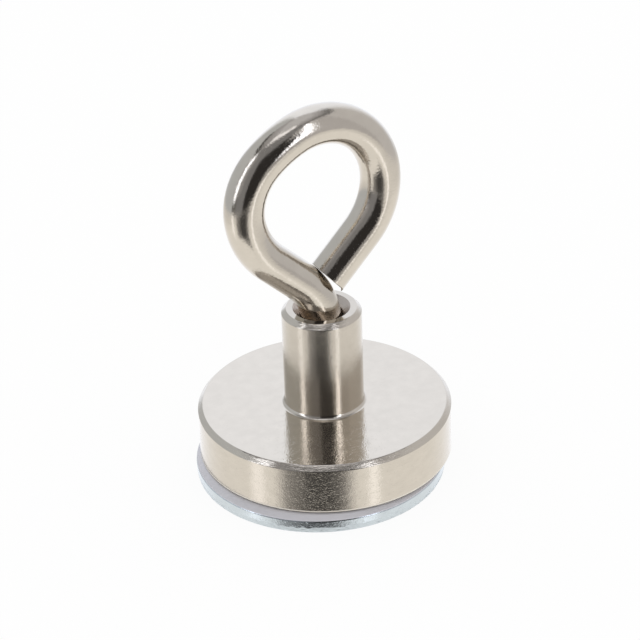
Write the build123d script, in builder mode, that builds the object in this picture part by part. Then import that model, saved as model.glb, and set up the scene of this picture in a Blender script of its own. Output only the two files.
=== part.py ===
from build123d import *
import os
from math import radians, sqrt, tan

# A pot magnet with an eye bolt, standing on the steel disc that guards its face.
# Millimetres. Z points up along the pot's axis, and z = 0 is the underside of the
# guard disc. The eye lies in the XZ plane: its neck leans to -X, its cut end
# comes back from +X.

# Guard disc, punched from sheet steel, held by the magnet a little off centre
keeper_undersize = 0.6
keeper_thickness = 3.3
keeper_shift_x = -1.7
keeper_shift_y = -1.0
keeper_bevel_width = 1.5
keeper_bevel_drop = 0.9
keeper_burr_break = 0.1

# Steel pot: a flat cup with a boss turned in one with it
cup_diameter = 48.0
cup_height = 10.0
cup_floor = 3.0
cup_wall = 3.5
cup_top_chamfer = 0.9
cup_foot_chamfer = 0.3
boss_diameter = 15.0
boss_height = 20.0
boss_top_chamfer = 0.9
boss_foot_fillet = 0.5

# Magnet and the resin that fills the gap round it
magnet_face_recess = 0.2
magnet_chamfer = 0.3
potting_width = 2.5
potting_recess = 0.3

# Threaded hole in the boss, an M8 thread drawn at its outer diameter
thread_diameter = 8.0
thread_clearance = 0.05
thread_depth = 16.0
tap_drill_diameter = 6.8
tap_drill_overrun = 2.5
drill_point_angle = 118.0
mouth_diameter = 10.8
mouth_angle = 90.0

# Eye bolt, bent from one length of wire on which the thread is then rolled
thread_rise = 0.25
shank_end_gap = 0.5
shank_end_chamfer = 0.8
neck_lead = 2.05
neck_bend_radius = 14.0
neck_turn = 46.5
neck_straight = 8.0
near_side_radius = 15.5
near_shoulder_radius = 12.5
crown_radius = 23.0
far_shoulder_radius = 12.5
far_side_radius = 14.5
# The strokes that close the eye, from the neck over the crown and down to the cut
# end: the radius and the turn of each
eye_strokes = [
    (near_side_radius, 38.0),
    (near_shoulder_radius, 59.0),
    (crown_radius, 17.0),
    (far_shoulder_radius, 76.0),
    (far_side_radius, 81.5),
]
cut_gap = 0.13
cut_skew = 4.0
cut_edge_break = 0.15

# Heights and radii that follow from these
keeper_radius = (cup_diameter - keeper_undersize) / 2
cup_seat_z = keeper_thickness
cup_top_z = cup_seat_z + cup_height
boss_top_z = cup_top_z + boss_height
cavity_depth = cup_height - cup_floor
cavity_radius = cup_diameter / 2 - cup_wall
magnet_radius = cavity_radius - potting_width
magnet_thickness = cavity_depth - magnet_face_recess
bore_radius = thread_diameter / 2 + thread_clearance
tap_drill_radius = tap_drill_diameter / 2
drill_point_height = tap_drill_radius / tan(radians(drill_point_angle / 2))
mouth_depth = (mouth_diameter / 2 - bore_radius) / tan(radians(mouth_angle / 2))
wire_radius = thread_diameter / 2 - thread_rise
neck_start_z = boss_top_z - mouth_depth - neck_lead
neck_centre = Vector(-neck_bend_radius, 0, neck_start_z)
shank_end_z = boss_top_z - thread_depth + shank_end_gap

os.makedirs("parts", exist_ok=True)


def leg_length(start, direction):
    """Length of the wire's last straight: its cut end stops cut_gap short of the bent neck."""
    inner_side = Vector(direction.Z, 0, -direction.X)
    corner = start + wire_radius * inner_side - neck_centre
    along = corner.dot(direction)
    stop_radius = neck_bend_radius + wire_radius + cut_gap
    corner_length = -along - sqrt(along**2 - corner.length**2 + stop_radius**2)
    return corner_length + wire_radius * tan(radians(cut_skew))


# Guard disc: its upper edge is drawn down to a bevel by the punch, its lower edge is sharp
with BuildPart() as keeper_plate:
    with BuildSketch(Plane.XY):
        with Locations((keeper_shift_x, keeper_shift_y)):
            Circle(keeper_radius)
    extrude(amount=keeper_thickness)
    upper_face = keeper_plate.faces().sort_by(Axis.Z)[-1]
    chamfer(upper_face.edges(), length=keeper_bevel_width, length2=keeper_bevel_drop, reference=upper_face)
    chamfer(keeper_plate.edges().group_by(Axis.Z)[0], length=keeper_burr_break)

# Pot: cup and boss in one, open below for the magnet, bored from above
with BuildPart() as pot:
    with BuildSketch(Plane.XY.offset(cup_seat_z)):
        Circle(cup_diameter / 2)
    extrude(amount=cup_height)
    chamfer(pot.edges().group_by(Axis.Z)[-1], length=cup_top_chamfer)
    chamfer(pot.edges().group_by(Axis.Z)[0], length=cup_foot_chamfer)
    with BuildSketch(Plane.XY.offset(cup_top_z)):
        Circle(boss_diameter / 2)
    extrude(amount=boss_height)
    chamfer(pot.edges().group_by(Axis.Z)[-1], length=boss_top_chamfer)
    boss_foot = pot.edges().filter_by_position(Axis.Z, cup_top_z, cup_top_z).sort_by(SortBy.RADIUS)[0]
    fillet(boss_foot, radius=boss_foot_fillet)
    with BuildSketch(Plane.XY.offset(cup_seat_z)):
        Circle(cavity_radius)
    extrude(amount=cavity_depth, mode=Mode.SUBTRACT)
    with Locations((0, 0, boss_top_z)):
        CounterSinkHole(
            radius=bore_radius,
            counter_sink_radius=mouth_diameter / 2,
            depth=thread_depth,
            counter_sink_angle=mouth_angle,
        )
    with BuildSketch(Plane.XY.offset(boss_top_z - thread_depth)):
        Circle(tap_drill_radius)
    extrude(amount=-tap_drill_overrun, mode=Mode.SUBTRACT)
    with Locations((0, 0, boss_top_z - thread_depth - tap_drill_overrun)):
        Cone(
            bottom_radius=0,
            top_radius=tap_drill_radius,
            height=drill_point_height,
            align=(Align.CENTER, Align.CENTER, Align.MAX),
            mode=Mode.SUBTRACT,
        )

# Magnet disc on the cup's floor
with BuildPart() as magnet:
    with BuildSketch(Plane.XY.offset(cup_seat_z + magnet_face_recess)):
        Circle(magnet_radius)
    extrude(amount=magnet_thickness)
    chamfer(magnet.edges(), length=magnet_chamfer)

# Resin ring, poured between magnet and cup wall
with BuildPart() as potting_ring:
    with BuildSketch(Plane.XY.offset(cup_seat_z + cavity_depth)):
        Circle(cavity_radius)
        Circle(magnet_radius, mode=Mode.SUBTRACT)
    extrude(amount=-(cavity_depth - potting_recess))

# Middle line of the bent wire: the neck, then the eye down to its cut end
with BuildLine(Plane.XZ) as neck_path:
    neck_bend = JernArc(start=(0, neck_start_z), tangent=(0, 1), radius=neck_bend_radius, arc_size=neck_turn)
    neck_end = neck_bend @ 1 + neck_straight * (neck_bend % 1)
    Line(neck_bend @ 1, neck_end)

with BuildLine(Plane.XZ) as eye_path:
    place = neck_end
    heading = neck_bend % 1
    for radius, turn in eye_strokes:
        stroke = JernArc(start=place, tangent=heading, radius=radius, arc_size=-turn)
        place = stroke @ 1
        heading = stroke % 1
    cut_middle = place + leg_length(place, heading) * heading
    Line(place, cut_middle + wire_radius * heading)

cut_plane = Plane(origin=cut_middle, x_dir=(0, 1, 0), z_dir=heading.rotate(Axis.Y, cut_skew))

# Eye bolt: the eye is cut off square but for its skew before neck and shank join it
with BuildPart() as eye_bolt:
    with BuildSketch(Plane(origin=neck_end, z_dir=neck_bend % 1)):
        Circle(wire_radius)
    sweep(path=eye_path.line)
    with BuildSketch(cut_plane):
        Rectangle(4 * wire_radius, 4 * wire_radius)
    extrude(amount=2 * wire_radius, mode=Mode.SUBTRACT)
    cut_face = eye_bolt.faces().sort_by_distance(cut_middle)[0]
    chamfer(cut_face.edges(), length=cut_edge_break)
    with BuildSketch(Plane.XY.offset(neck_start_z)):
        Circle(wire_radius)
    sweep(path=neck_path.line)
    with BuildSketch(Plane.XY.offset(shank_end_z)):
        Circle(thread_diameter / 2)
    extrude(amount=neck_start_z - thread_rise - shank_end_z)
    chamfer(eye_bolt.edges().group_by(Axis.Z)[0], length=shank_end_chamfer)
    with Locations((0, 0, neck_start_z - thread_rise)):
        Cone(
            bottom_radius=thread_diameter / 2,
            top_radius=wire_radius,
            height=thread_rise,
            align=(Align.CENTER, Align.CENTER, Align.MIN),
        )

keeper_plate.part.label = "keeper_plate"
pot.part.label = "pot"
magnet.part.label = "magnet"
potting_ring.part.label = "potting_ring"
eye_bolt.part.label = "eye_bolt"
for piece in (keeper_plate, pot, magnet, potting_ring, eye_bolt):
    export_step(piece.part, f"parts/{piece.part.label}.step")
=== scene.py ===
import math

import bpy
import numpy as np
from mathutils import Matrix, Vector


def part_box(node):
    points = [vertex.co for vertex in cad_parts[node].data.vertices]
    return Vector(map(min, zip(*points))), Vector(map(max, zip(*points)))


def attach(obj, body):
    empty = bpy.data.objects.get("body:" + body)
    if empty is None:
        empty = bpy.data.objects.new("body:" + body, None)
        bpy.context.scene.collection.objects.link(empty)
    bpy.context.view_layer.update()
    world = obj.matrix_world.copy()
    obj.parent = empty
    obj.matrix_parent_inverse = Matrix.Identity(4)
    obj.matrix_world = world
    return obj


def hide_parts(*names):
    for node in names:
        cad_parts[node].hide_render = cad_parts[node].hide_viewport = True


bl_info = {
    "name": "Pot magnet with bent eye",
    "version": (1, 0, 0),
    "blender": (4, 5, 0),
    "location": "3D View > Sidebar > Pot magnet",
    "description": "Turned pot, bent wire eye and punched guard disc of a pot magnet, with their finishes",
    "category": "Object",
}

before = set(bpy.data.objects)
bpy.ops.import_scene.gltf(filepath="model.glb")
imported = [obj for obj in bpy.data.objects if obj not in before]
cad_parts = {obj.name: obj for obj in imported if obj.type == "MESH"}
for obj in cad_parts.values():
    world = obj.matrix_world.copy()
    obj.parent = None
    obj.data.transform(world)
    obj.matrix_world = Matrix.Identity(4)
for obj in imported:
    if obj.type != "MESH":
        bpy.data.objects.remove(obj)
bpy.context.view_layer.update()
pot_low, pot_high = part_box("pot")
eye_low, eye_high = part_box("eye_bolt")
disc_low, disc_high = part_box("keeper_plate")
resin_low, resin_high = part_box("potting_ring")

MM = 0.001

# Width of the camera's sensor, in millimetres
SENSOR_WIDTH = 36.0

# How finely the meshes are stepped: over a rounded corner, over the pressed edge and the face
# of the wire's cut, over the torn and the smooth part of the disc's edge, and over one turn of
# the thread in the pot and on the eye
CORNER_STEPS = 6
PRESSED_STEPS = 5
FACE_RINGS = 4
TORN_STEPS = 9
SHORN_STEPS = 4
HOLE_THREAD_STEPS = 10
SHANK_THREAD_STEPS = 14

# The thread's flanks: how much steeper than a plain V they run, and how much of the height
# the root takes, which leaves both root and crest rounded
FLANK_GAIN = 1.35
ROOT_SHARE = 0.12

# The power by which the burr rises over the cut's pressed edge
BURR_POWER = 3

# The torn part of the disc's edge: how far the line above it wanders, the waves of this line
# and of the tear (how many, and the fewest and most of them round the disc), how far down the
# tear's swell is shifted, as a share, the power by which the edge leans in, and the waves' seed
LINE_WANDER = 0.12 * MM
LINE_WAVES = (24, 6, 90)
TEAR_WAVES = (60, 20, 300)
TEAR_SHIFT = 0.15
LEAN_POWER = 1.5
TEAR_SEED = 7

# Material slots of the pot, the eye and the disc. The pot's last slot, over its foot chamfer, carries a
# painted highlight.
TURNED, FACED, BOSS_SIDE, CHAMFERED, COUNTERSUNK, THREADED, FOOT_HIGHLIGHT = range(7)
DRAWN, SHEARED = range(2)
FLAT, SHORN, TORN = range(3)


def length(label, description, default):
    """A size in metres that shows in the sidebar."""
    return bpy.props.FloatProperty(
        name=label, description=description, default=default, precision=5, subtype="DISTANCE", unit="LENGTH"
    )


def angle(label, description, degrees):
    """An angle that shows in degrees in the sidebar."""
    return bpy.props.FloatProperty(
        name=label, description=description, default=math.radians(degrees), subtype="ANGLE", unit="ROTATION"
    )


def share(label, description, default, low=0.0, high=1.0):
    """A plain number that shows in the sidebar."""
    return bpy.props.FloatProperty(name=label, description=description, default=default, min=low, max=high)


def colour(label, description, default):
    """A linear colour that shows in the sidebar."""
    return bpy.props.FloatVectorProperty(
        name=label, description=description, default=default, size=3, min=0.0, max=1.0, subtype="COLOR"
    )


class PotSizes(bpy.types.PropertyGroup):
    """Sizes of the turned pot."""

    cup_height: length("Cup height", "From the cup's rim below to its flat top", 10 * MM)
    cup_top_chamfer: length("Cup top chamfer", "Chamfer round the cup's flat top", 0.9 * MM)
    cup_foot_chamfer: length("Cup foot chamfer", "Chamfer round the cup's rim below", 0.3 * MM)
    # Painted highlight: the band over the foot chamfer is a paler, duller nickel that stands in for a bright
    # line mirrored along the cup's foot
    foot_highlight_height: length("Rubbed height", "Rubbed band on the cup's side, over its foot chamfer", 0.28 * MM)
    boss_diameter: length("Boss diameter", "Outside of the boss", 15 * MM)
    boss_top_chamfer: length("Boss chamfer", "Chamfer round the boss's top", 0.9 * MM)
    boss_foot_fillet: length("Boss foot fillet", "Fillet where boss and cup meet", 0.75 * MM)
    mouth_diameter: length("Mouth diameter", "Countersink at the boss's top", 10.8 * MM)
    bore_clearance: length("Bore clearance", "Air between the threads, measured along the radius", 0.05 * MM)
    bore_depth: length("Bore depth", "From the boss's top to the end of the thread", 16 * MM)
    relief_depth: length("Relief depth", "From the boss's top to where the hole's thread starts", 3.6 * MM)
    drill_diameter: length("Tap drill", "Diameter of the hole below the thread", 6.8 * MM)
    drill_overrun: length("Tap drill overrun", "How far the drill went on below the thread", 2.5 * MM)
    drill_point: angle("Drill point", "Full angle of the drill's point", 118)
    edge_radius: length("Edge radius", "Radius left on turned edges, but for the top chamfers", 0.13 * MM)
    chamfer_radius: length("Chamfer radius", "Radius left on both edges of the top chamfers", 0.24 * MM)
    chamfer_crown: length("Chamfer crown", "How far the worn tool left the chamfers bulging", 0.03 * MM)
    crown_share: share("Crown share", "Where the chamfers bulge most, as a share from their upper edge", 0.25)
    crown_radius: length("Crown radius", "Radius of the bulge across the chamfers", 3.3 * MM)
    segments: bpy.props.IntProperty(name="Segments", description="Faces round the pot", default=384, min=64)


class EyeSizes(bpy.types.PropertyGroup):
    """Sizes of the bent eye."""

    wire_diameter: length("Wire diameter", "Plain wire of the eye", 7.5 * MM)
    thread_pitch: length("Thread pitch", "Rise of the thread in one turn", 1.25 * MM)
    thread_depth: length("Thread depth", "From the thread's crest to its root", 0.65 * MM)
    thread_top: length("Thread end", "Where the thread fades out, above the boss's top", -1.8 * MM)
    end_chamfer: length("End chamfer", "Chamfer on the threaded end", 0.8 * MM)
    neck_drop: length("Neck drop", "How far below the boss's top the neck starts to bend", 3.4 * MM)
    neck_bend_radius: length("Neck bend", "Middle radius of the neck's bend", 14 * MM)
    neck_turn: angle("Neck turn", "How far the neck leans", 46.5)
    neck_straight: length("Neck straight", "Straight wire between neck and eye", 8 * MM)
    stroke_radii: bpy.props.FloatVectorProperty(
        name="Stroke radii",
        description="Middle radii of the eye's strokes, from the neck over the crown to the cut end",
        default=(15.5 * MM, 12.5 * MM, 23 * MM, 12.5 * MM, 14.5 * MM),
        size=5,
        precision=5,
        unit="LENGTH",
    )
    stroke_turns: bpy.props.FloatVectorProperty(
        name="Stroke turns",
        description="How far each stroke of the eye turns",
        default=[math.radians(turn) for turn in (38, 59, 17, 76, 81.5)],
        size=5,
        unit="ROTATION",
    )
    cut_gap: length("Cut gap", "Air between the cut end and the neck", 0.04 * MM)
    cut_skew: angle("Cut skew", "How far the cut is out of square", 4)
    cut_edge: length("Cut edge", "Radius pressed on the cut's edge by the blade", 0.15 * MM)
    burr_height: length("Burr height", "Burr that the blade left at the cut's outer corner", 0.5 * MM)
    burr_width: angle("Burr width", "How far the burr runs round the wire", 9)
    burr_turn: angle("Burr turn", "Where the burr stands, round the wire from the inside of the eye", 218)
    station_gap: length("Station gap", "Distance between rings along the plain wire", 0.35 * MM)
    segments: bpy.props.IntProperty(name="Segments", description="Faces round the wire", default=112, min=32)


class DiscSizes(bpy.types.PropertyGroup):
    """Sizes of the punched guard disc."""

    bevel_width: length("Bevel width", "How far in the punch drew the upper edge down", 1.5 * MM)
    bevel_drop: length("Bevel drop", "How far down the punch drew the upper edge", 0.74 * MM)
    bevel_start: length("Bevel start", "Radius where the flat side turns into the bevel", 2.0 * MM)
    bevel_foot: length("Bevel foot", "Radius where the bevel turns into the edge", 0.45 * MM)
    shear_height: length("Shear height", "Smooth part of the edge below the bevel", 1.4 * MM)
    fracture_inset: length("Fracture inset", "How far the torn part of the edge leans in", 0.14 * MM)
    tear_depth: length("Tear depth", "Roughness of the torn part of the edge", 0.05 * MM)
    burr_break: length("Burr break", "Edge left round the underside", 0.1 * MM)
    segments: bpy.props.IntProperty(name="Segments", description="Faces round the disc", default=640, min=64)


class Finishes(bpy.types.PropertyGroup):
    """Colours and gloss of the finishes."""

    nickel: colour("Nickel", "Bright nickel plate on pot and eye", (0.67, 0.615, 0.535))
    nickel_roughness: share("Nickel roughness", "Roughness of the bright nickel plate", 0.08)
    side_roughness: share("Side roughness", "Roughness of the cup's turned side", 0.065)
    boss_roughness: share("Boss roughness", "Roughness of the boss, mostly across the turning", 0.135)
    turning: share("Turning", "How much more the gloss spreads across the turning marks than along them", 1.0)
    # Partly thinner plate, partly painted shade: this dark brown also stands in for the shade deep in the
    # threaded hole
    thin_plate_and_shade: colour("Thin nickel", "Thin plate in the threaded hole", (0.44, 0.355, 0.285))
    # Painted highlight: this paler, duller nickel stands in for a bright line mirrored along the cup's foot
    foot_highlight_nickel: colour("Rubbed nickel", "Band at the cup's foot, rubbed dull", (0.86, 0.81, 0.72))
    mouth_nickel: colour("Mouth nickel", "Thinner plate in the countersink", (0.60, 0.53, 0.47))
    sheared_steel: colour("Sheared steel", "The wire's cut end", (0.58, 0.54, 0.48))
    zinc: colour("Zinc", "Bright zinc plate on the guard disc's edge", (0.65, 0.71, 0.745))
    zinc_roughness: share("Zinc roughness", "Roughness of the zinc plate on the edge", 0.14)
    satin_zinc: colour("Satin zinc", "Zinc plate on the guard disc's flat sides", (0.68, 0.67, 0.70))
    satin_nickel: colour("Satin nickel", "Nickel plate on the magnet", (0.62, 0.60, 0.57))
    resin: colour("Resin", "Poured resin round the magnet", (0.035, 0.035, 0.038))


class StageSettings(bpy.types.PropertyGroup):
    """Camera, floor and light."""

    camera_place: bpy.props.FloatVectorProperty(
        name="Camera place",
        description="Where the camera stands, from the part's origin on the floor",
        default=(-189.52 * MM, -356.43 * MM, 262.356 * MM),
        size=3,
        precision=5,
        subtype="TRANSLATION",
        unit="LENGTH",
    )
    camera_azimuth: angle("Camera azimuth", "Turn of the camera from looking along +Y", -27.954)
    camera_dip: angle("Camera dip", "How far the camera looks down", 29.88)
    camera_roll: angle("Camera roll", "Turn of the camera about its line of sight", -1.95)
    studio_turn: angle("Studio turn", "Which way the studio's front lies from the part, from +X", -118)
    lens: share("Lens", "Focal length in millimetres on a 36 mm wide sensor", 140.92, 10.0, 500.0)
    floor_span: length("Floor span", "Side of the square floor", 3.0)
    floor_drop: length("Floor drop", "How far the floor lies below the part", 0.02 * MM)
    floor_colour: colour("Floor colour", "Pale floor", (0.92, 0.92, 0.915))
    floor_glow: share("Floor glow", "How much of the floor is plain white where it is looked at", 0.92)


class PotMagnetSettings(bpy.types.PropertyGroup):
    """Everything that can be set on the pot magnet."""

    pot: bpy.props.PointerProperty(type=PotSizes)
    eye: bpy.props.PointerProperty(type=EyeSizes)
    disc: bpy.props.PointerProperty(type=DiscSizes)
    finish: bpy.props.PointerProperty(type=Finishes)
    stage: bpy.props.PointerProperty(type=StageSettings)


# Meshes


def rounded_outline(corners):
    """Points and outward normals of an outline in the (radius, height) plane.

    Each corner is (radius, height, rounding), and one without rounding lies on a straight run.
    The outline runs with the solid on its left.
    """
    points = [np.array(corner[:2]) for corner in corners]
    outline = []
    for index, corner in enumerate(corners):
        here = points[index]
        if index in (0, len(corners) - 1):
            other = points[1] if index == 0 else points[-2]
            run = other - here if index == 0 else here - other
            run /= np.linalg.norm(run)
            outline.append((here, np.array([run[1], -run[0]])))
            continue
        into = here - points[index - 1]
        into /= np.linalg.norm(into)
        if corner[2] == 0:
            outline.append((here, np.array([into[1], -into[0]])))
            continue
        out = points[index + 1] - here
        out /= np.linalg.norm(out)
        first = np.array([into[1], -into[0]])
        last = np.array([out[1], -out[0]])
        turn = math.atan2(into[0] * out[1] - into[1] * out[0], into @ out)
        back = corner[2] * math.tan(abs(turn) / 2)
        start = here - back * into
        side = math.copysign(1.0, turn)
        middle = start - side * corner[2] * first
        for step in range(CORNER_STEPS + 1):
            part = turn * step / CORNER_STEPS
            c, s = math.cos(part), math.sin(part)
            normal = np.array([c * first[0] - s * first[1], s * first[0] + c * first[1]])
            outline.append((middle + side * corner[2] * normal, normal))
        outline[-1] = (outline[-1][0], last)
    return outline


def ring_mesh(name, rings, normals, start_pole, end_pole, finishes):
    """A closed mesh from rings of points, each (segments, 3), closed at both ends by a pole.

    finishes gives the material slot of each band between two rings.
    """
    count, segments = rings.shape[:2]
    points = np.vstack([rings.reshape(-1, 3), start_pole, end_pole])
    ids = np.arange(count * segments).reshape(count, segments)
    after = np.roll(ids, -1, axis=1)
    quads = np.stack([ids[:-1], after[:-1], after[1:], ids[1:]], axis=-1).reshape(-1, 4)
    first = np.stack([np.full(segments, count * segments), after[0], ids[0]], axis=-1)
    last = np.stack([np.full(segments, count * segments + 1), ids[-1], after[-1]], axis=-1)
    mesh = bpy.data.meshes.new(name)
    mesh.from_pydata(points.tolist(), [], quads.tolist() + first.tolist() + last.tolist())
    mesh.shade_smooth()
    bands = np.repeat(finishes, segments)
    ends = np.repeat([finishes[0], finishes[-1]], segments)
    mesh.polygons.foreach_set("material_index", np.concatenate([bands, ends]).astype(np.int32))
    start_normal = rings[0].mean(0) - rings[1].mean(0)
    end_normal = rings[-1].mean(0) - rings[-2].mean(0)
    poles = [cap_normal(normals[0], start_normal), cap_normal(normals[-1], end_normal)]
    mesh.normals_split_custom_set_from_vertices(np.vstack([normals.reshape(-1, 3), *poles]).tolist())
    if mesh.validate():
        raise RuntimeError(f"{name} has faces that don't hold")
    return mesh


def cap_normal(ring_normals, fallback):
    """The normal at a pole: the mean of its ring's normals, or the way on where they cancel."""
    shortest = 0.2
    mean = ring_normals.mean(0)
    if np.linalg.norm(mean) < shortest:
        mean = fallback
    return mean / np.linalg.norm(mean)


def grid_normals(rings):
    """Outward normals of a dense tube of rings."""
    around = np.roll(rings, -1, axis=1) - np.roll(rings, 1, axis=1)
    along = np.gradient(rings, axis=0)
    normals = np.cross(around, along)
    return normals / np.linalg.norm(normals, axis=-1, keepdims=True)


def circle_points(segments):
    """Even angles round a circle, and the points there on a circle of radius 1."""
    turn = np.linspace(0, 2 * np.pi, segments, endpoint=False)
    return turn, np.stack([np.cos(turn), np.sin(turn)], axis=-1)


def upright_ring(centre, radius, circle, height):
    """A ring of points or normals about an upright axis; radius and height may change round it."""
    out = np.broadcast_to(radius, len(circle))[:, None]
    return np.column_stack([centre + out * circle, np.broadcast_to(height, len(circle))])


def turned_rings(outline, segments, centre):
    """Rings and normals of an outline turned about an upright axis."""
    _, circle = circle_points(segments)
    rings = []
    normals = []
    for (radius, height), (across, up) in outline:
        rings.append(upright_ring(centre, radius, circle, height))
        normals.append(upright_ring((0, 0), across, circle, up))
    return np.array(rings), np.array(normals)


def thread_height(rise, turn, pitch, depth):
    """Height of a rounded V thread over its root, at a rise along the axis and a turn about it."""
    phase = (rise / pitch - turn / (2 * np.pi)) % 1.0
    slope = 1.0 - np.abs(2.0 * phase - 1.0)
    return depth * smooth(np.clip(FLANK_GAIN * slope - ROOT_SHARE, 0.0, 1.0))


def smooth(x):
    """An even step from 0 to 1."""
    return x * x * (3.0 - 2.0 * x)


def place_piece(name, mesh, materials, node):
    """Places a piece of the part, which stands for its CAD node and rides with the body."""
    piece = bpy.data.objects.new(name, mesh)
    bpy.context.scene.collection.objects.link(piece)
    for material in materials:
        mesh.materials.append(material)
    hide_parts(node)
    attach(piece, "root")


def thread_radius(eye, thread_diameter, rise, turn):
    """Outside of the threaded shank at a rise above its end and a turn about it."""
    root = thread_diameter / 2 - eye.thread_depth
    return root + thread_height(rise, turn, eye.thread_pitch, eye.thread_depth)


def chamfer_corners(pot, radius, top, depth):
    """Corners of a chamfer that bulges a little near its upper edge."""
    bulge = pot.chamfer_crown / math.sqrt(2)
    down = pot.crown_share * depth
    return [
        (radius, top - depth, pot.chamfer_radius),
        (radius - depth + down + bulge, top - down + bulge, pot.crown_radius),
        (radius - depth, top, pot.chamfer_radius),
    ]


def pot_mesh(pot, eye):
    """The turned pot: cup, boss, countersink, threaded hole, and the cavity for the magnet."""
    below_relief = 0.1 * MM
    below_thread = 0.02 * MM
    tip_share = 0.25
    same_height = 0.01 * MM
    r = pot.edge_radius
    cup_radius = (pot_high.x - pot_low.x) / 2
    cavity_radius = (resin_high.x - resin_low.x) / 2
    seat, top = pot_low.z, pot_high.z
    cup_top = seat + pot.cup_height
    foot_highlight_top = seat + pot.cup_foot_chamfer + pot.foot_highlight_height
    boss_radius = pot.boss_diameter / 2
    thread_diameter = eye_high.y - eye_low.y
    bore_radius = thread_diameter / 2 + pot.bore_clearance
    mouth_radius = pot.mouth_diameter / 2
    mouth_floor = top - (mouth_radius - bore_radius)
    drill_radius = pot.drill_diameter / 2
    thread_start = top - pot.relief_depth
    bore_floor = top - pot.bore_depth
    drill_floor = bore_floor - pot.drill_overrun
    point_depth = drill_radius / math.tan(pot.drill_point / 2)
    fillet = pot.boss_foot_fillet
    outline = rounded_outline(
        [
            (cavity_radius / 2, resin_high.z, 0),
            (cavity_radius, resin_high.z, r),
            (cavity_radius, seat, r),
            (cup_radius - pot.cup_foot_chamfer, seat, r / 2),
            (cup_radius, seat + pot.cup_foot_chamfer, r),
            (cup_radius, foot_highlight_top, 0),
            *chamfer_corners(pot, cup_radius, cup_top, pot.cup_top_chamfer),
            (boss_radius, cup_top, fillet),
            *chamfer_corners(pot, boss_radius, top, pot.boss_top_chamfer),
            (mouth_radius, top, r),
            (bore_radius, mouth_floor, r),
            (bore_radius, thread_start, 0),
        ]
    )
    rings, normals = turned_rings(outline, pot.segments, (0, 0))
    turn, circle = circle_points(pot.segments)
    threads = []
    for height in np.arange(thread_start - below_relief, bore_floor, -eye.thread_pitch / HOLE_THREAD_STEPS):
        crest = thread_radius(eye, thread_diameter, height - eye_low.z, turn) + pot.bore_clearance
        fade = smooth(np.clip((thread_start - height) / eye.thread_pitch, 0.0, 1.0))
        radius = bore_radius + fade * (crest - bore_radius)
        threads.append(upright_ring((0, 0), radius, circle, height))
    drilled, drilled_normals = turned_rings(
        rounded_outline(
            [
                (drill_radius, bore_floor - below_thread, 0),
                (drill_radius, drill_floor, r),
                (tip_share * drill_radius, drill_floor - (1 - tip_share) * point_depth, 0),
            ]
        ),
        pot.segments,
        (0, 0),
    )
    threads = np.array(threads)
    all_rings = np.concatenate([rings, threads, drilled])
    all_normals = np.concatenate([normals, grid_normals(threads), drilled_normals])
    bottom = (0, 0, resin_high.z)
    point = (0, 0, drill_floor - point_depth)

    # Each band between two rings gets its finish by where it ends
    reach = np.hypot(all_rings[:, 0, 0], all_rings[:, 0, 1])
    height = all_rings[:, 0, 2]
    outside = (reach[1:] > cavity_radius + r) | (height[1:] > cup_top)
    level = np.isclose(height[1:], height[:-1], atol=same_height)
    finishes = np.full(len(reach) - 1, TURNED)
    finishes[level & outside & (height[1:] > cup_top - r)] = FACED
    # The band over the foot chamfer gets the painted highlight, a paler nickel that stands in for a bright
    # mirrored line
    finishes[outside & np.isclose(height[1:], foot_highlight_top)] = FOOT_HIGHLIGHT
    on_boss = np.isclose(reach[1:], boss_radius, atol=r) & np.isclose(reach[:-1], boss_radius, atol=r)
    finishes[on_boss & (height[1:] > cup_top + fillet)] = BOSS_SIDE
    for corner, upper, depth in (
        (cup_radius, cup_top, pot.cup_top_chamfer),
        (boss_radius, top, pot.boss_top_chamfer),
    ):
        sloped = ~level & (reach[1:] < corner) & (reach[1:] > corner - depth)
        finishes[sloped & (height[1:] > upper - depth)] = CHAMFERED
    inside = (np.arange(len(reach) - 1) >= np.argmax(height)) & (reach[1:] < mouth_radius)
    finishes[inside & (height[1:] >= mouth_floor)] = COUNTERSUNK
    # The threaded hole gets the dark brown nickel, which paints the shade deep in the hole
    finishes[inside & (height[1:] < mouth_floor)] = THREADED
    return ring_mesh("turned_pot", all_rings, all_normals, bottom, point, finishes)


class WireLine:
    """The wire's middle line in the XZ plane. A place is x + iz, a heading is an angle from +X."""

    def __init__(self, place, heading):
        self.place = place
        self.heading = heading
        self.stations = [(place, heading, 0.0)]

    def straight(self, run, gap):
        """Goes straight on."""
        start, travelled = self.place, self.stations[-1][2]
        steps = max(1, math.ceil(run / gap))
        for step in range(1, steps + 1):
            part = run * step / steps
            self.stations.append((start + part * np.exp(1j * self.heading), self.heading, travelled + part))
        self.place = self.stations[-1][0]

    def bend(self, radius, turn, gap):
        """Bends left for a positive turn, and right for a negative one."""
        side = math.copysign(1.0, turn)
        middle = self.place + side * radius * 1j * np.exp(1j * self.heading)
        travelled = self.stations[-1][2]
        steps = max(1, math.ceil(radius * abs(turn) / gap))
        for step in range(1, steps + 1):
            part = turn * step / steps
            heading = self.heading + part
            place = middle - side * radius * 1j * np.exp(1j * heading)
            self.stations.append((place, heading, travelled + radius * abs(part)))
        self.place, self.heading, _ = self.stations[-1]


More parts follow.
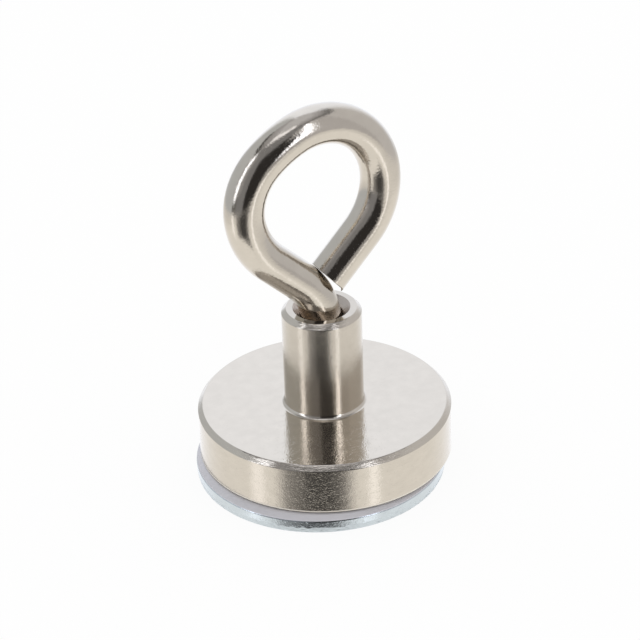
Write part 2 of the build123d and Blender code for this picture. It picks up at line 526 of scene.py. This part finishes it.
def wire_line(eye):
    """The whole middle line, from the threaded end to the cut end."""
    line = WireLine(1j * eye_low.z, math.radians(90))
    neck_start = pot_high.z - eye.neck_drop
    fine = eye.thread_pitch / SHANK_THREAD_STEPS
    line.straight(neck_start - eye_low.z, fine)
    threaded_neck = (eye.neck_drop + eye.thread_top) / eye.neck_bend_radius
    line.bend(eye.neck_bend_radius, threaded_neck, fine)
    line.bend(eye.neck_bend_radius, eye.neck_turn - threaded_neck, eye.station_gap)
    line.straight(eye.neck_straight, eye.station_gap)
    for radius, turn in zip(eye.stroke_radii, eye.stroke_turns):
        line.bend(radius, -turn, eye.station_gap)
    line.straight(closing_run(eye, line, neck_start), eye.station_gap)
    return line


def closing_run(eye, line, neck_start):
    """Length of the wire's last straight: its cut end stops just short of the bent neck."""
    wire_radius = eye.wire_diameter / 2
    ahead = np.exp(1j * line.heading)
    neck_centre = -eye.neck_bend_radius + 1j * neck_start
    corner = line.place - 1j * wire_radius * ahead - neck_centre
    along = (corner * ahead.conjugate()).real
    stop = eye.neck_bend_radius + wire_radius + eye.cut_gap
    corner_run = -along - math.sqrt(along**2 - abs(corner) ** 2 + stop**2)
    return corner_run + wire_radius * math.tan(eye.cut_skew)


def eye_mesh(eye):
    """The eye bolt: threaded shank, bent neck, eye and cut end, in one skin."""
    line = wire_line(eye)
    turn, _ = circle_points(eye.segments)
    wire_radius = eye.wire_diameter / 2
    thread_diameter = eye_high.y - eye_low.y
    thread_end = pot_high.z + eye.thread_top - eye_low.z
    rings = []
    for place, heading, travelled in line.stations:
        radius = np.full(len(turn), wire_radius)
        if travelled < thread_end:
            fade = smooth(np.clip((thread_end - travelled) / eye.thread_pitch, 0.0, 1.0))
            radius += fade * (thread_radius(eye, thread_diameter, travelled, turn) - wire_radius)
        radius = np.minimum(radius, thread_diameter / 2 - eye.end_chamfer + travelled)
        rings.append(wire_ring(place, heading, radius, turn))
    cut_middle, heading, _ = line.stations[-1]
    rings = np.array(rings[:-1] + cut_rings(eye, cut_middle, heading, turn))
    finishes = np.full(len(rings) - 1, DRAWN)
    finishes[-FACE_RINGS:] = SHEARED
    return ring_mesh("bent_eye", rings, grid_normals(rings), (0, 0, eye_low.z), rings[-1].mean(0), finishes)


def wire_ring(place, heading, radius, turn):
    """One ring of points square to the wire's middle line."""
    across = np.array([math.sin(heading), 0.0, -math.cos(heading)])
    aside = np.array([0.0, 1.0, 0.0])
    middle = np.array([place.real, 0.0, place.imag])
    spokes = np.cos(turn)[:, None] * across + np.sin(turn)[:, None] * aside
    return middle + radius[:, None] * spokes


def cut_rings(eye, middle, heading, turn):
    """Rings of the cut end: the skewed face, its pressed edge and the burr at its outer corner."""
    wire_radius = eye.wire_diameter / 2
    ahead = np.array([math.cos(heading), 0.0, math.sin(heading)])
    face_angle = heading - eye.cut_skew
    face = np.array([math.cos(face_angle), 0.0, math.sin(face_angle)])
    origin = np.array([middle.real, 0.0, middle.imag])
    away = np.angle(np.exp(1j * (turn - eye.burr_turn)))
    burr = eye.burr_height * np.exp(-((away / eye.burr_width) ** 2))
    rings = []
    for step in range(PRESSED_STEPS + 1):
        part = math.pi / 2 * step / PRESSED_STEPS
        radius = wire_radius - eye.cut_edge * (1 - math.cos(part))
        back = eye.cut_edge * (1 - math.sin(part))
        ring = wire_ring(middle, heading, np.full(len(turn), radius), turn)
        slide = -((ring - origin) @ face) / (ahead @ face)
        rings.append(ring + (slide - back + burr * math.sin(part) ** BURR_POWER)[:, None] * ahead)
    flat = rings[-1] - (burr[:, None] * ahead)
    first_inset, last_inset = 0.1, 0.9
    for inset in np.linspace(first_inset, last_inset, FACE_RINGS):
        rings.append(origin + (flat - origin) * (1 - inset))
    return rings


def disc_mesh(disc):
    """The guard disc: upper edge drawn down, smooth shear zone, and a torn zone below it."""
    radius = (disc_high.x - disc_low.x) / 2
    centre = ((disc_high.x + disc_low.x) / 2, (disc_high.y + disc_low.y) / 2)
    low, high = disc_low.z, disc_high.z
    bevel_low = high - disc.bevel_drop
    shear_top = bevel_low - disc.bevel_foot
    tear_top = bevel_low - disc.shear_height
    turn, circle = circle_points(disc.segments)
    rng = np.random.default_rng(TEAR_SEED)

    def ripple(waves, fewest, most):
        """An uneven line round the disc, of waves of random counts and places."""
        counts = rng.integers(fewest, most, waves)
        phases = rng.uniform(0, 2 * np.pi, waves)
        total = sum(np.cos(count * turn + phase) for count, phase in zip(counts, phases))
        return total / math.sqrt(waves)

    edge_line = tear_top + LINE_WANDER * ripple(*LINE_WAVES)
    rings = [upright_ring(centre, radius - disc.fracture_inset - disc.burr_break, circle, low)]
    for step in range(TORN_STEPS + 1):
        part = step / TORN_STEPS
        height = (low + disc.burr_break) + part * (edge_line - low - disc.burr_break)
        swell = math.sin(math.pi * min(1.0, part + TEAR_SHIFT)) ** 0.5
        rough = disc.tear_depth * ripple(*TEAR_WAVES) * swell
        out = radius - disc.fracture_inset * (1 - part) ** LEAN_POWER - np.abs(rough) * (part < 1)
        rings.append(upright_ring(centre, out, circle, height))
    for step in range(1, SHORN_STEPS + 1):
        height = edge_line + step / SHORN_STEPS * (shear_top - edge_line)
        rings.append(upright_ring(centre, radius, circle, height))
    upper_outline = rounded_outline(
        [
            (radius, shear_top, 0),
            (radius, bevel_low, disc.bevel_foot),
            (radius - disc.bevel_width, high, disc.bevel_start),
            (radius / 2, high, 0),
        ]
    )
    upper_rings, upper_normals = turned_rings(upper_outline[1:], disc.segments, centre)
    lower_rings = np.array(rings)
    lower_normals = grid_normals(lower_rings)
    lower_normals[0] = (0, 0, -1)
    lower_normals[-1] = upright_ring((0, 0), 1, circle, 0)
    rings = np.concatenate([lower_rings, upper_rings])
    normals = np.concatenate([lower_normals, upper_normals])
    finishes = np.full(len(rings) - 1, FLAT)
    finishes[: TORN_STEPS + 1] = TORN
    finishes[TORN_STEPS + 1 : len(lower_rings) + CORNER_STEPS // 2] = SHORN
    return ring_mesh("guard_disc", rings, normals, (*centre, low), (*centre, high), finishes)


# Materials


class NodeBook:
    """Adds nodes to a tree and joins them by value or by socket."""

    def __init__(self, tree):
        self.tree = tree

    def feed(self, socket, value):
        """Joins a socket to another one or sets its value, a colour's without alpha."""
        if isinstance(value, bpy.types.NodeSocket):
            self.tree.links.new(value, socket)
        elif socket.type == "RGBA":
            socket.default_value = (*value, 1)
        else:
            socket.default_value = value

    def add(self, kind, settings=None, **inputs):
        """A node with its settings, and inputs given by name or as _0, _1 for the place."""
        node = self.tree.nodes.new(kind)
        for key, value in (settings or {}).items():
            setattr(node, key, value)
        for key, value in inputs.items():
            place = int(key[1:]) if key[0] == "_" else key.replace("_", " ")
            self.feed(node.inputs[place], value)
        return node

    def math(self, operation, *values, clamp=False):
        """The output of a Math node."""
        node = self.add("ShaderNodeMath", {"operation": operation, "use_clamp": clamp})
        for socket, value in zip(node.inputs, values):
            self.feed(socket, value)
        return node.outputs[0]

    def ramp(self, factor, *stops):
        """The colour output of a Color Ramp with two stops, each (place, colour)."""
        node = self.add("ShaderNodeValToRGB", Fac=factor)
        for element, (place, shade) in zip(node.color_ramp.elements, stops):
            element.position = place
            element.color = (*shade, 1)
        return node.outputs["Color"]

    def mix(self, factor, first, second):
        """The colour output of a Mix node."""
        return self.add("ShaderNodeMix", {"data_type": "RGBA"}, _0=factor, _6=first, _7=second).outputs[2]


def new_group(name, inputs, outputs):
    """An empty shader node group with its sockets, and the book to fill it."""
    tree = bpy.data.node_groups.new(name, "ShaderNodeTree")
    for label, kind, default in inputs:
        socket = tree.interface.new_socket(label, in_out="INPUT", socket_type=kind)
        if default is not None:
            socket.default_value = default
    for label, kind in outputs:
        tree.interface.new_socket(label, in_out="OUTPUT", socket_type=kind)
    book = NodeBook(tree)
    return tree, book, tree.nodes.new("NodeGroupInput"), tree.nodes.new("NodeGroupOutput")


def wear_group():
    """Grain, short scratches, pits and slow changes of tone, as handled plate has them.

    Scales are waves or cells for each millimetre. Levels, gains and starts apply to the noise.
    """
    name = "plate_wear"
    if name in bpy.data.node_groups:
        return bpy.data.node_groups[name]
    slow_scale = 0.45
    slow_relief = 1.5
    scratch_level = 0.66
    scratch_gain = 9.0
    tilt_shares = (1, 1.7, 0.6)
    pit_scale = 1.4
    pit_fall = -14.0
    pit_start = 1.6
    number = "NodeSocketFloat"
    inputs = [
        ("Vector", "NodeSocketVector", None),
        ("Grain", number, 0.3),
        ("Scratches", number, 0.5),
        ("Pits", number, 0.3),
    ]
    outputs = [(label, number) for label in ("Height", "Scratched", "Pitted", "Tone")]
    tree, book, given, result = new_group(name, inputs, outputs)
    in_millimetres = book.add(
        "ShaderNodeVectorMath", {"operation": "SCALE"}, _0=given.outputs["Vector"], Scale=1 / MM
    )
    place = in_millimetres.outputs[0]

    def noise(vector, scale):
        """Soft noise, from 0 to 1."""
        return book.add("ShaderNodeTexNoise", Vector=vector, Scale=scale, Detail=2.0).outputs[0]

    grain = noise(place, book.math("DIVIDE", 1.0, given.outputs["Grain"]))
    unevenness = noise(place, slow_scale)
    streaks = []
    for tilt, stretch in ((0.5, 9.0), (-0.7, 7.0), (1.3, 11.0)):
        rotation = [tilt * part for part in tilt_shares]
        drawn = book.add("ShaderNodeMapping", _0=place, Rotation=rotation, Scale=(1.0, stretch, stretch / 2))
        over = book.math("SUBTRACT", noise(drawn.outputs[0], slow_scale), scratch_level)
        streaks.append(book.math("MULTIPLY", over, scratch_gain, clamp=True))
    scratches = book.math("MAXIMUM", book.math("MAXIMUM", streaks[0], streaks[1]), streaks[2])
    scratches = book.math("MULTIPLY", scratches, given.outputs["Scratches"])
    cells = book.add("ShaderNodeTexVoronoi", Vector=place, Scale=pit_scale)
    pit = book.math("MULTIPLY_ADD", cells.outputs["Distance"], pit_fall, pit_start, clamp=True)
    pits = book.math("MULTIPLY", pit, given.outputs["Pits"])
    height = book.math("SUBTRACT", grain, book.math("ADD", scratches, pits))
    height = book.math("MULTIPLY_ADD", unevenness, slow_relief, height)
    for socket, value in zip(result.inputs, (height, scratches, pits, unevenness)):
        tree.links.new(value, socket)
    return tree


def new_material(name):
    """A material with its book and its Principled BSDF."""
    material = bpy.data.materials.new(name)
    material.use_nodes = True
    tree = material.node_tree
    return material, NodeBook(tree), tree.nodes["Principled BSDF"]


def darkened(tone, level):
    """A colour at a lower level."""
    return tuple(level * part for part in tone)


def plate_material(
    name, base, roughness, grain, relief, scratches=0.4, pits=0.2, metallic=1.0, turning=0.0, drawn_out=1.0
):
    """Metal or resin with grain, scratches, pits and a slight change of tone.

    grain is how wide the grain is and relief how high, in millimetres, drawn_out is how
    many times as wide as high the grain is, and turning spreads the gloss across the
    marks that turning about the upright axis left.
    """
    dark_tone = 0.3
    full_tone = 0.7
    dark_level = 0.95
    pit_level = 0.35
    pit_share = 0.3
    scratch_roughness = 0.12
    tone_roughness = 0.15
    quarter_turn = 0.25
    material, book, shader = new_material(name)
    links = material.node_tree.links
    place = book.add("ShaderNodeTexCoord").outputs["Object"]
    place = book.add("ShaderNodeMapping", _0=place, Scale=(1.0, 1.0, drawn_out)).outputs[0]
    amounts = {"Grain": grain, "Scratches": scratches, "Pits": pits}
    wear = book.add("ShaderNodeGroup", {"node_tree": wear_group()}, Vector=place, **amounts).outputs
    shade = book.ramp(wear["Tone"], (dark_tone, darkened(base, dark_level)), (full_tone, base))
    shade = book.mix(book.math("MULTIPLY", wear["Pitted"], pit_share), shade, darkened(base, pit_level))
    rough = book.math("MULTIPLY_ADD", wear["Scratched"], scratch_roughness, roughness)
    rough = book.math("MULTIPLY_ADD", wear["Tone"], tone_roughness * roughness, rough)
    bump = book.add("ShaderNodeBump", Distance=relief * MM, Height=wear["Height"])
    shader.inputs["Metallic"].default_value = metallic
    links.new(shade, shader.inputs["Base Color"])
    links.new(rough, shader.inputs["Roughness"])
    links.new(bump.outputs[0], shader.inputs["Normal"])
    if turning:
        shader.inputs["Anisotropic"].default_value = turning
        shader.inputs["Anisotropic Rotation"].default_value = quarter_turn
        about = book.add("ShaderNodeTangent", {"direction_type": "RADIAL", "axis": "Z"})
        links.new(about.outputs[0], shader.inputs["Tangent"])
    return material


# Pieces and stage, one operator each


class POT_OT_turned_pot(bpy.types.Operator):
    """Makes the nickel plated pot: cup, boss and threaded hole, turned as one"""

    bl_idname = "pot_magnet.turned_pot"
    bl_label = "Turned pot"

    def execute(self, context):
        settings = context.scene.pot_magnet
        finish = settings.finish
        bright = finish.nickel
        materials = [
            plate_material(
                "nickel_on_turned_side", bright, finish.side_roughness,
                grain=0.32, relief=0.017, scratches=0.5, pits=0.8, drawn_out=1.8,
            ),
            # Painted shade: the flat tops get a darker copy of the same bright nickel
            plate_material(
                "nickel_on_faced_top", darkened(bright, level=0.90), finish.nickel_roughness,
                grain=0.3, relief=0.0003, scratches=0.3, pits=0.1,
            ),
            # Painted shade: the boss gets a slightly darker copy of the same bright nickel
            plate_material(
                "nickel_on_boss", darkened(bright, level=0.97), finish.boss_roughness,
                grain=0.25, relief=0.018, scratches=0.5, pits=0.6, turning=finish.turning,
            ),
            plate_material(
                "nickel_on_chamfers", bright, finish.nickel_roughness,
                grain=1.4, relief=0.03, scratches=0.2, drawn_out=12.0,
            ),
            plate_material(
                "nickel_in_countersink", finish.mouth_nickel,
                roughness=0.2, grain=0.3, relief=0.03, drawn_out=0.25,
            ),
            # Dark brown nickel in the thread: thinner plate, and painted shade of the deep hole
            plate_material(
                "nickel_in_thread_with_painted_shade", finish.thin_plate_and_shade,
                roughness=0.4, grain=0.25, relief=0.004, metallic=0.5,
            ),
            # Painted highlight along the cup's foot: a paler, duller nickel in place of a mirrored bright
            # line
            plate_material(
                "nickel_painted_foot_highlight", finish.foot_highlight_nickel,
                roughness=0.4, grain=0.3, relief=0.004, metallic=0.3,
            ),
        ]
        mesh = pot_mesh(settings.pot, settings.eye)
        place_piece("turned_pot", mesh, materials, "pot")
        return {"FINISHED"}


class POT_OT_bent_eye(bpy.types.Operator):
    """Makes the nickel plated wire eye with its threaded shank"""

    bl_idname = "pot_magnet.bent_eye"
    bl_label = "Bent eye"

    def execute(self, context):
        settings = context.scene.pot_magnet
        finish = settings.finish
        materials = [
            plate_material(
                "nickel_on_drawn_wire", finish.nickel, finish.nickel_roughness,
                grain=0.32, relief=0.016,
            ),
            plate_material(
                "sheared_end", finish.sheared_steel,
                roughness=0.35, grain=0.2, relief=0.02, scratches=1.0,
            ),
        ]
        place_piece("bent_eye", eye_mesh(settings.eye), materials, "eye_bolt")
        return {"FINISHED"}


class POT_OT_guard_disc(bpy.types.Operator):
    """Makes the zinc plated guard disc with its punched edge"""

    bl_idname = "pot_magnet.guard_disc"
    bl_label = "Guard disc"

    def execute(self, context):
        settings = context.scene.pot_magnet
        finish = settings.finish
        materials = [
            plate_material(
                "zinc_on_flat", finish.satin_zinc,
                roughness=0.4, grain=0.35, relief=0.008, scratches=0.6, metallic=0.4,
            ),
            plate_material(
                "zinc_on_shorn_edge", finish.zinc, finish.zinc_roughness,
                grain=0.3, relief=0.025, scratches=0.8,
            ),
            plate_material(
                "zinc_on_torn_edge", finish.zinc,
                roughness=0.3, grain=0.15, relief=0.025, scratches=1.0,
            ),
        ]
        place_piece("guard_disc", disc_mesh(settings.disc), materials, "keeper_plate")
        return {"FINISHED"}


class POT_OT_magnet_insert(bpy.types.Operator):
    """Finishes the magnet and the resin round it, which keep their solids"""

    bl_idname = "pot_magnet.magnet_insert"
    bl_label = "Magnet and resin"

    def execute(self, context):
        finish = context.scene.pot_magnet.finish
        satin = plate_material(
            "satin_nickel_on_magnet", finish.satin_nickel,
            roughness=0.3, grain=0.4, relief=0.01, scratches=0.8,
        )
        resin = plate_material(
            "poured_resin", finish.resin,
            roughness=0.35, grain=1.2, relief=0.06, scratches=0.1, pits=0.6, metallic=0.0,
        )
        for node, material in (("magnet", satin), ("potting_ring", resin)):
            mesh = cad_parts[node].data
            mesh.materials.clear()
            mesh.materials.append(material)
        return {"FINISHED"}


class POT_OT_stage(bpy.types.Operator):
    """Makes the pale floor, the soft studio light and the camera"""

    bl_idname = "pot_magnet.stage"
    bl_label = "Stage"

    def execute(self, context):
        scene = context.scene
        stage = scene.pot_magnet.stage
        make_floor(scene, stage)
        make_world(scene, stage)
        make_camera(scene, stage)
        scene.view_settings.view_transform = "Standard"
        return {"FINISHED"}


def make_floor(scene, stage):
    """The pale floor that the part stands on, white where nothing shades it."""
    half = stage.floor_span / 2
    mesh = bpy.data.meshes.new("floor")
    corners = [(-half, -half, 0), (half, -half, 0), (half, half, 0), (-half, half, 0)]
    mesh.from_pydata(corners, [], [(0, 1, 2, 3)])
    floor = bpy.data.objects.new("floor", mesh)
    floor.location.z = -stage.floor_drop
    scene.collection.objects.link(floor)

    # The metal mirrors the studio's own floor instead, which has its shaded part
    floor.visible_glossy = False
    material, book, shader = new_material("pale_floor")
    links = material.node_tree.links
    shader.inputs["Base Color"].default_value = (*stage.floor_colour, 1)
    shader.inputs["Roughness"].default_value = 1.0
    shader.inputs["Specular IOR Level"].default_value = 0.0
    rays = book.add("ShaderNodeLightPath")
    seen = book.math("MAXIMUM", rays.outputs["Is Camera Ray"], rays.outputs["Is Glossy Ray"])
    seen = book.math("MAXIMUM", seen, rays.outputs["Is Transmission Ray"])
    white = book.add("ShaderNodeEmission", Color=(1, 1, 1), Strength=1.0)
    blend = book.add("ShaderNodeMixShader", _0=book.math("MULTIPLY", seen, stage.floor_glow))
    links.new(shader.outputs[0], blend.inputs[1])
    links.new(white.outputs[0], blend.inputs[2])
    links.new(blend.outputs[0], material.node_tree.nodes["Material Output"].inputs["Surface"])
    mesh.materials.append(material)


# What shows through where the two tent walls fade into each other
TENT_SEAM = (0.55, 0.55, 0.55)

# What stands round the part in the studio, as reflections show it, each panel over those before
# it. Azimuths run in degrees from the studio's front, where the camera stands, and grow to the
# right as the camera sees it. Elevations run up from the horizon:
# (name, left, right, side softness, low, high, upright softness, colour)
SURROUND = [
    ("left tent wall", -200, 0, 1, -95, 95, 1, (0.60, 0.63, 0.67)),
    ("right tent wall", 0, 200, 1, -95, 95, 1, (0.67, 0.67, 0.69)),
    ("roof gap", -122, 200, 8, 52, 95, 4, (0.24, 0.24, 0.25)),
    ("roof gap, darkest", -122, -70, 8, 49, 55, 1.5, (0.075, 0.073, 0.073)),
    ("roof, left side", -122, -48, 8, 56.5, 95, 2.5, (0.40, 0.40, 0.42)),
    ("roof", -200, 200, 1, 62, 95, 5, (0.47, 0.47, 0.50)),
    ("roof, top", -200, 200, 1, 72, 95, 5, (0.64, 0.655, 0.70)),
    ("backdrop left", -200, -152, 7, -20, 71, 5, (1.14, 1.20, 1.33)),
    ("backdrop right", 145, 200, 20, -20, 71, 5, (1.13, 1.19, 1.32)),
    ("front grey", -58, 40, 2, -20, 60, 3, (0.26, 0.262, 0.278)),
    ("front grey, lighter side", -75, -40, 8, 3, 50, 4, (0.38, 0.38, 0.40)),
    ("below the left strip", -72, -48, 6, -17, -4, 4, (0.18, 0.18, 0.18)),
    ("gap round the camera", -13, 60, 5, -20, 39, 6, (0.037, 0.035, 0.035)),
    ("right tent wall, near edge", 39, 76, 4, -20, 52, 3, (0.58, 0.575, 0.59)),
    ("right tent wall, over the gap", 26, 38, 3, 27, 46, 5, (0.6, 0.6, 0.62)),
    ("right tent wall, foot", 30.5, 46, 3, -20, -4, 4, (0.42, 0.415, 0.42)),
    ("overhead softbox", -55, 16, 7, 61.5, 71, 2, (1.25, 1.27, 1.36)),
    ("left strip light", -70, -57.5, 3, -2, 50, 4, (2.05, 2.14, 2.38)),
    ("right strip light", 36, 46, 2.5, -3, 50, 4, (2.45, 2.55, 2.85)),
    ("floor, far", -200, 200, 1, -95, -18, 3, (0.82, 0.81, 0.80)),
    ("floor, near", -200, 200, 1, -95, -28, 6, (1.0, 0.99, 0.97)),
    ("floor at the back, left", -200, -135, 30, -95, -24, 6, (1.1, 1.11, 1.15)),
    ("floor at the back, right", 135, 200, 30, -95, -24, 6, (1.1, 1.11, 1.15)),
    ("left strip on the floor", -72, -59, 4, -40, -18, 5, (1.3, 1.29, 1.3)),
    ("right strip on the floor", 38.5, 48, 3, -40, -18, 5, (1.35, 1.35, 1.36)),
    ("shaded floor in front", -42, 21, 9, -40, -18, 3, (0.275, 0.27, 0.268)),
    ("shaded floor in front, darkest", -24, 12, 11, -39, -18, 3, (0.076, 0.075, 0.075)),
]


def make_world(scene, stage):
    """The studio: plain white for the light, and its walls, lights and dark gap for reflections."""
    world = bpy.data.worlds.new("studio")
    world.use_nodes = True
    world.cycles.sampling_method = "NONE"
    tree = world.node_tree
    book = NodeBook(tree)
    towards = book.add("ShaderNodeTexCoord").outputs["Generated"]
    turned = book.add(
        "ShaderNodeVectorRotate", {"rotation_type": "Z_AXIS"}, Vector=towards, Angle=-stage.studio_turn
    )
    axes = book.add("ShaderNodeSeparateXYZ", Vector=turned.outputs[0]).outputs
    azimuth = book.math("DEGREES", book.math("ARCTAN2", axes[1], axes[0]))
    elevation = book.math("DEGREES", book.math("ARCSINE", axes[2]))

    def past(value, edge, softness):
        """A mask that rises from 0 to 1 where the value passes an edge."""
        return book.add(
            "ShaderNodeMapRange",
            {"interpolation_type": "SMOOTHSTEP"},
            Value=value,
            From_Min=edge - softness,
            From_Max=edge + softness,
        ).outputs[0]

    def between(value, start, end, softness):
        """A mask of 1 between two edges."""
        return book.math("SUBTRACT", past(value, start, softness), past(value, end, softness))

    def panel(left, right, side_softness, low, high, upright_softness):
        """A mask of 1 where a panel stands."""
        sides = between(azimuth, left, right, side_softness)
        uprights = between(elevation, low, high, upright_softness)
        return book.math("MULTIPLY", sides, uprights, clamp=True)

    shade = TENT_SEAM
    for _, *span, tone in SURROUND:
        shade = book.mix(panel(*span), shade, tone)
    light = tree.nodes["Background"]
    light.inputs["Color"].default_value = (1, 1, 1, 1)
    mirrored = book.add("ShaderNodeBackground", Color=shade)
    rays = book.add("ShaderNodeLightPath")
    both = book.add("ShaderNodeMixShader", _0=rays.outputs["Is Glossy Ray"])
    tree.links.new(light.outputs[0], both.inputs[1])
    tree.links.new(mirrored.outputs[0], both.inputs[2])
    tree.links.new(both.outputs[0], tree.nodes["World Output"].inputs["Surface"])
    scene.world = world


def make_camera(scene, stage):
    """The camera at the photograph's angle."""
    data = bpy.data.cameras.new("camera")
    data.sensor_width = SENSOR_WIDTH
    data.lens = stage.lens
    camera = bpy.data.objects.new("camera", data)
    scene.collection.objects.link(camera)
    turn = Matrix.Rotation(stage.camera_azimuth, 4, "Z")
    tip = Matrix.Rotation(math.pi / 2 - stage.camera_dip, 4, "X")
    roll = Matrix.Rotation(stage.camera_roll, 4, "Z")
    camera.matrix_world = Matrix.Translation(Vector(stage.camera_place)) @ turn @ tip @ roll
    scene.camera = camera


class POT_PT_sidebar(bpy.types.Panel):
    """Lists the pot magnet's pieces"""

    bl_idname = "POT_PT_sidebar"
    bl_label = "Pot magnet"
    bl_space_type = "VIEW_3D"
    bl_region_type = "UI"
    bl_category = "Pot magnet"

    def draw(self, context):
        for operator in PIECES:
            self.layout.operator(operator.bl_idname)
        settings = context.scene.pot_magnet
        for group in (settings.pot, settings.eye, settings.disc, settings.finish, settings.stage):
            box = self.layout.box()
            _rna_type, _name, *names = group.bl_rna.properties.keys()
            for name in names:
                box.prop(group, name)


PIECES = (POT_OT_turned_pot, POT_OT_bent_eye, POT_OT_guard_disc, POT_OT_magnet_insert, POT_OT_stage)
GROUPS = (PotSizes, EyeSizes, DiscSizes, Finishes, StageSettings, PotMagnetSettings)


def register():
    for kind in (*GROUPS, *PIECES, POT_PT_sidebar):
        bpy.utils.register_class(kind)
    bpy.types.Scene.pot_magnet = bpy.props.PointerProperty(type=PotMagnetSettings)


def unregister():
    del bpy.types.Scene.pot_magnet
    for kind in reversed((*GROUPS, *PIECES, POT_PT_sidebar)):
        bpy.utils.unregister_class(kind)


def main():
    """Builds every piece and the stage."""
    register()
    bpy.ops.pot_magnet.turned_pot()
    bpy.ops.pot_magnet.bent_eye()
    bpy.ops.pot_magnet.guard_disc()
    bpy.ops.pot_magnet.magnet_insert()
    bpy.ops.pot_magnet.stage()


if __name__ == "__main__":
    main()
